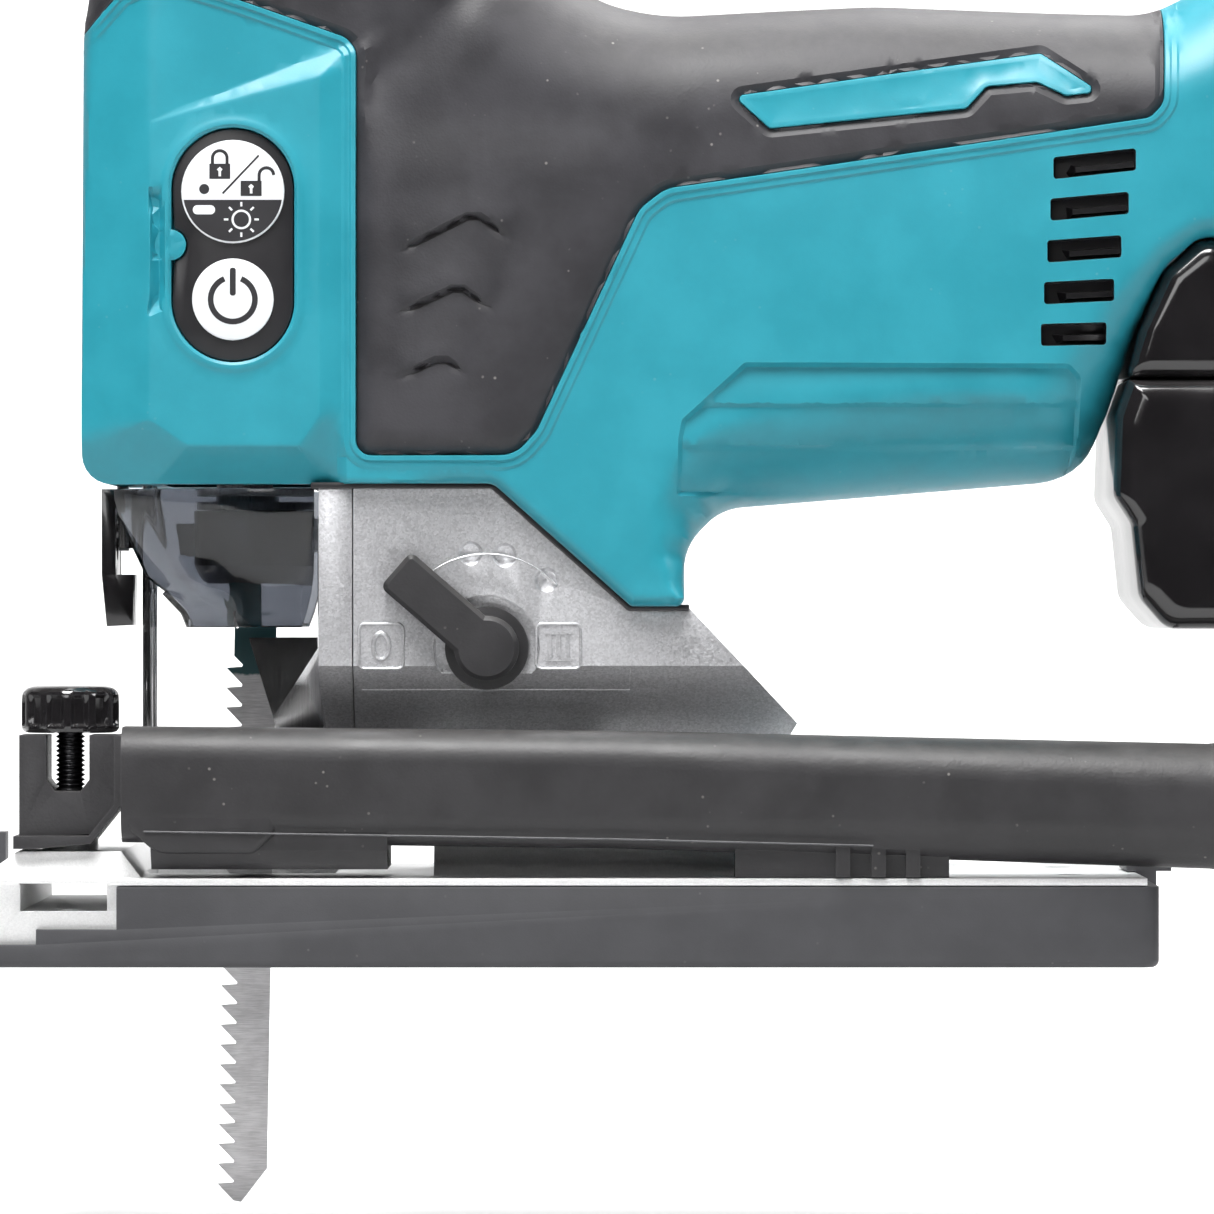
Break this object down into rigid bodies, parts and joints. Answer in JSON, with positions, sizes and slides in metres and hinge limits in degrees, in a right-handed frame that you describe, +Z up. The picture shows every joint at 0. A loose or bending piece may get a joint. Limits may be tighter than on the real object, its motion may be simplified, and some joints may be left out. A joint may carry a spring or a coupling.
{
  "type": "jigsaw power tool",
  "caption": "Cordless barrel-grip jigsaw with tilting base, dust nozzle, clear dust cover, orbital blade drive and slide battery.",
  "frame": {"origin": "where the blade's centre line crosses the plane of the sole, on the mid-plane of the body", "axes": "+Z up, +X back towards the battery (the saw cuts towards -X), -Y the side of the dust nozzle"},
  "size_m": [0.2524, 0.0836, 0.2244],
  "materials": {
    "teal_plastic": "fine-grained satin",
    "grip_rubber": "soft, fine stipple",
    "panel_black": "gloss",
    "button_print": null,
    "screw_steel": "zinc plated",
    "circuit_board": "solder mask",
    "clear_plastic": "clear, gloss",
    "smoked_plastic": "clear, slightly smoked",
    "black_plastic": "moulded grain",
    "dark_plastic": "moulded grain, slightly sheeny",
    "gloss_black": "gloss",
    "cast_alloy": "fine sparkling paint on a casting",
    "base_alloy": "satin, bead blasted",
    "machined_steel": "ground",
    "polished_steel": "polished",
    "blade_steel": "ground, with a dark painted shank",
    "dark_steel": "blackened",
    "laminations": "stacked sheet",
    "bronze": "sintered bronze",
    "contact_copper": "plated",
    "cell_wrap": null
  },
  "bodies": {
    "tool": {"housing_left": "teal_plastic", "housing_right": "teal_plastic", "grip_left": "grip_rubber", "grip_right": "grip_rubber", "housing_screws": "screw_steel", "button_panel_left": "panel_black", "button_panel_right": "panel_black", "circuit_boards": "circuit_board", "lamp_lens": "clear_plastic", "gear_housing": "cast_alloy", "gear_housing_cover": "cast_alloy", "gear_cover_bolts": "screw_steel", "retainer_stop": "gloss_black", "motor_stator": "laminations", "motor_bearings": "polished_steel", "motor_rear_bracket": "black_plastic", "crank_axle": "machined_steel", "retainer_axle": "machined_steel", "lever_pin": "machined_steel", "wire_guard": "polished_steel", "terminal_block": "black_plastic", "terminal_blades": "contact_copper", "controller": "black_plastic"},
    "rotor": {"motor_rotor": "machined_steel", "motor_pinion": "machined_steel", "motor_fan": "black_plastic"},
    "crank": {"crank_gear": "machined_steel"},
    "crank_roller": {"crank_roller": "polished_steel"},
    "swing": {"swing_frame": "machined_steel", "plunger_bushes": "bronze"},
    "plunger": {"plunger": "machined_steel", "blade_clamp_core": "machined_steel", "blade": "blade_steel"},
    "clamp_sleeve": {"blade_clamp_sleeve": "dark_steel"},
    "retainer": {"roller_retainer": "polished_steel", "roller_pin": "machined_steel"},
    "guide_roller": {"guide_roller": "machined_steel"},
    "orbit_lever": {"orbit_lever": "black_plastic", "orbit_cam": "machined_steel"},
    "release_lever": {"release_lever": "gloss_black"},
    "dust_cover": {"dust_cover": "smoked_plastic"},
    "carriage": {"base_clamp_plate": "machined_steel", "base_clamp_bolt": "screw_steel", "base_clamp_nut": "machined_steel"},
    "base": {"base": "base_alloy", "cover_plate": "dark_plastic", "dust_nozzle": "black_plastic"},
    "knob": {"clamp_knob": "gloss_black"},
    "battery": {"battery_case_upper": "gloss_black", "battery_case_lower": "gloss_black", "battery_cells": "cell_wrap", "battery_board": "circuit_board", "battery_gauge": "panel_black"},
    "battery_button": {"battery_button": "dark_plastic"},
    "lock_left": {"lock_button_left": "button_print"},
    "lock_right": {"lock_button_right": "button_print"},
    "power_left": {"power_button_left": "button_print"},
    "power_right": {"power_button_right": "button_print"},
    "speed_dial": {"speed_dial": "dark_plastic"}
  },
  "joints": [
    {"name": "rotor_spin", "type": "hinge", "parent": "tool", "child": "rotor", "pos_m": [0.077, 0, 0.097], "axis": [1, 0, 0], "continuous": true},
    {"name": "crank_spin", "type": "hinge", "parent": "tool", "child": "crank", "pos_m": [0.03, 0, 0.1198], "axis": [1, 0, 0], "continuous": true},
    {"name": "crank_roller_spin", "type": "hinge", "parent": "crank", "child": "crank_roller", "pos_m": [0.0177, 0.0101, 0.1143], "axis": [1, 0, 0], "continuous": true},
    {"name": "retainer_swing", "type": "hinge", "parent": "tool", "child": "retainer", "pos_m": [0.0126, 0, 0.068], "axis": [0, 1, 0], "range_deg": [0, 4.5], "stiffness_Nm_per_rad": 0.5, "springref_deg": -5.73},
    {"name": "guide_roller_spin", "type": "hinge", "parent": "retainer", "child": "guide_roller", "pos_m": [0.0096, 0, 0.03], "axis": [0, 1, 0], "continuous": true},
    {"name": "plunger_swing", "type": "hinge", "parent": "tool", "child": "swing", "pos_m": [0, 0, 0.153], "axis": [0, 1, 0], "range_deg": [0, 1.4]},
    {"name": "plunger_stroke", "type": "slide", "parent": "swing", "child": "plunger", "axis": [0, 0, 1], "range_m": [-0.006, 0.017]},
    {"name": "clamp_turn", "type": "hinge", "parent": "plunger", "child": "clamp_sleeve", "pos_m": [0, 0, 0.066], "axis": [0, 0, 1], "range_deg": [0, 50], "stiffness_Nm_per_rad": 0.05, "springref_deg": -22.92},
    {"name": "orbit_lever_turn", "type": "hinge", "parent": "tool", "child": "orbit_lever", "pos_m": [0.0394, -0.028, 0.05], "axis": [0, 1, 0], "range_deg": [0, 91]},
    {"name": "release_lever_swing", "type": "hinge", "parent": "tool", "child": "release_lever", "pos_m": [-0.02, 0.006, 0.07], "axis": [0, 0, -1], "range_deg": [0, 50], "stiffness_Nm_per_rad": 0.05, "springref_deg": -17.19},
    {"name": "dust_cover_pull", "type": "slide", "parent": "tool", "child": "dust_cover", "axis": [0, 0, 1], "range_m": [-0.012, 0]},
    {"name": "base_shift", "type": "slide", "parent": "tool", "child": "carriage", "axis": [1, 0, 0], "range_m": [0, 0.007]},
    {"name": "base_tilt", "type": "hinge", "parent": "carriage", "child": "base", "pos_m": [0.055, 0, 0.002], "axis": [1, 0, 0], "range_deg": [-5, 45]},
    {"name": "knob_turn", "type": "hinge", "parent": "base", "child": "knob", "pos_m": [-0.0262, -0.029, 0.03], "axis": [0, 0, 1], "continuous": true},
    {"name": "battery_slide", "type": "slide", "parent": "tool", "child": "battery", "axis": [1, 0, 0], "range_m": [0, 0.072]},
    {"name": "battery_button_press", "type": "slide", "parent": "battery", "child": "battery_button", "axis": [-1, 0, 0], "range_m": [0, 0.0025], "stiffness_N_per_m": 800, "springref_m": -0.002},
    {"name": "lock_left_press", "type": "slide", "parent": "tool", "child": "lock_left", "axis": [0, 1, 0], "range_m": [0, 0.0007], "stiffness_N_per_m": 2000, "springref_m": -0.0005},
    {"name": "lock_right_press", "type": "slide", "parent": "tool", "child": "lock_right", "axis": [0, -1, 0], "range_m": [0, 0.0007], "stiffness_N_per_m": 2000, "springref_m": -0.0005},
    {"name": "power_left_press", "type": "slide", "parent": "tool", "child": "power_left", "axis": [0, 1, 0], "range_m": [0, 0.0007], "stiffness_N_per_m": 2000, "springref_m": -0.0005},
    {"name": "power_right_press", "type": "slide", "parent": "tool", "child": "power_right", "axis": [0, -1, 0], "range_m": [0, 0.0007], "stiffness_N_per_m": 2000, "springref_m": -0.0005},
    {"name": "speed_dial_turn", "type": "hinge", "parent": "tool", "child": "speed_dial", "pos_m": [0.176, 0, 0.1534], "axis": [0, 1, 0], "range_deg": [0, 270]}
  ],
  "couplings": [
    {"joint": "crank_spin", "follows": "rotor_spin", "ratio": -0.26667},
    {"joint": "plunger_swing", "follows": "retainer_swing", "ratio": 0.31}
  ]
}
